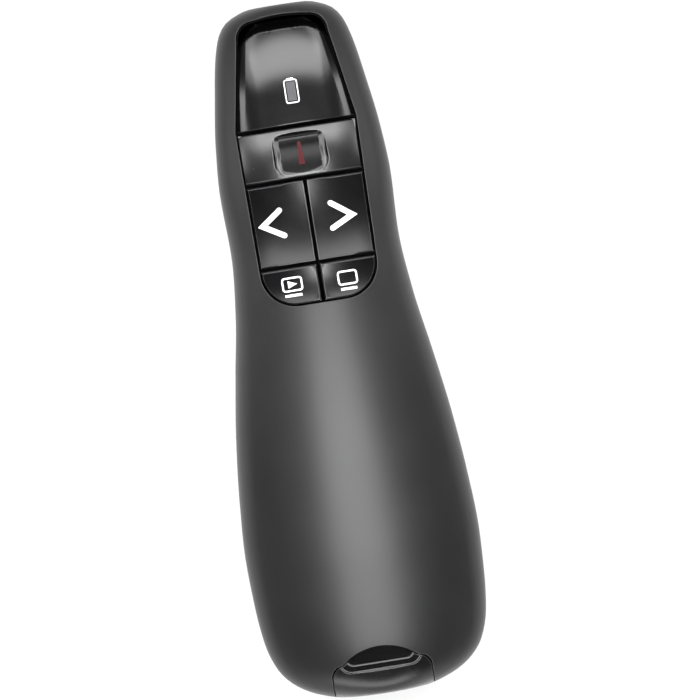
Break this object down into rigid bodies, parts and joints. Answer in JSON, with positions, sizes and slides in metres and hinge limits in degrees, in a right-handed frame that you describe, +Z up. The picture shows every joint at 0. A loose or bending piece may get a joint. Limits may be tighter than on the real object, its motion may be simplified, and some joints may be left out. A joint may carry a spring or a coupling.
{
  "type": "wireless presentation clicker",
  "caption": "Hand-held slide remote: long waisted case with a window and inset keys, laser in the nose, power slide, sliding battery door and a receiver docked in the tail.",
  "frame": {"origin": "on the floor under the middle of the case, which lies on its belly", "axes": "+Y along the case towards the laser nose, +X to the right seen from above, +Z up through the keys"},
  "size_m": [0.0424, 0.125, 0.0269],
  "materials": {
    "soft_plastic": "satin",
    "gloss_plastic": "polished",
    "key_plastic": "polished",
    "satin_key": "satin",
    "mark_red": "polished",
    "frame_plastic": "moulded",
    "board": "solder masked laminate",
    "chip": "moulded epoxy",
    "tin": "tinned",
    "steel": "plated",
    "brass": "turned",
    "lens": "polished",
    "clear": "clear moulding",
    "cell_wrap": "printed sleeve",
    "gold": "gold plated",
    "tongue": "moulded"
  },
  "bodies": {
    "case": {"upper_shell": "soft_plastic", "lower_shell": "soft_plastic", "mid_frame": "frame_plastic", "status_window": "gloss_plastic", "main_board": "board", "controller_chip": "chip", "radio_chip": "chip", "crystal": "tin", "status_led": "clear", "light_guide": "clear", "capacitors": "tin", "laser_barrel": "brass", "laser_lens": "lens", "laser_diode": "steel", "laser_bezel": "gloss_plastic", "laser_leads": "tin", "power_switch_body": "steel", "cell_left": "cell_wrap", "cell_right": "cell_wrap", "contact_leaves": "steel", "contact_bridge": "steel", "case_screws": "steel", "board_screws": "steel", "switch_housing_laser": "chip", "switch_housing_back": "chip", "switch_housing_next": "chip", "switch_housing_slideshow": "chip", "switch_housing_blank": "chip"},
    "battery_door_body": {"battery_door": "soft_plastic"},
    "receiver": {"receiver_housing": "gloss_plastic", "receiver_grip": "satin_key", "usb_shell": "steel", "usb_tongue": "tongue", "usb_contacts": "gold", "receiver_board": "board", "receiver_chip": "chip"},
    "power_switch": {"power_knob": "key_plastic", "power_switch_lever": "chip"},
    "laser_key": {"laser_button": "satin_key", "switch_plunger_laser": "tongue", "laser_mark": "mark_red"},
    "back_key": {"back_button": "key_plastic", "switch_plunger_back": "tongue"},
    "next_key": {"next_button": "key_plastic", "switch_plunger_next": "tongue"},
    "slideshow_key": {"slideshow_button": "key_plastic", "switch_plunger_slideshow": "tongue"},
    "blank_key": {"blank_button": "key_plastic", "switch_plunger_blank": "tongue"}
  },
  "joints": [
    {"name": "laser_press", "type": "slide", "parent": "case", "child": "laser_key", "axis": [0, 0, -1], "range_m": [0, 0.0004], "stiffness_N_per_m": 300},
    {"name": "back_press", "type": "slide", "parent": "case", "child": "back_key", "axis": [0, 0, -1], "range_m": [0, 0.0004], "stiffness_N_per_m": 300},
    {"name": "next_press", "type": "slide", "parent": "case", "child": "next_key", "axis": [0, 0, -1], "range_m": [0, 0.0004], "stiffness_N_per_m": 300},
    {"name": "slideshow_press", "type": "slide", "parent": "case", "child": "slideshow_key", "axis": [0, 0, -1], "range_m": [0, 0.0004], "stiffness_N_per_m": 300},
    {"name": "blank_press", "type": "slide", "parent": "case", "child": "blank_key", "axis": [0, 0, -1], "range_m": [0, 0.0004], "stiffness_N_per_m": 300},
    {"name": "power_slide", "type": "slide", "parent": "case", "child": "power_switch", "axis": [0, 1, 0], "range_m": [0, 0.002]},
    {"name": "receiver_slide", "type": "slide", "parent": "case", "child": "receiver", "axis": [0, -1, 0], "range_m": [0, 0.05]},
    {"name": "door_slide", "type": "slide", "parent": "case", "child": "battery_door_body", "axis": [0, -1, 0], "range_m": [0, 0.06]}
  ]
}
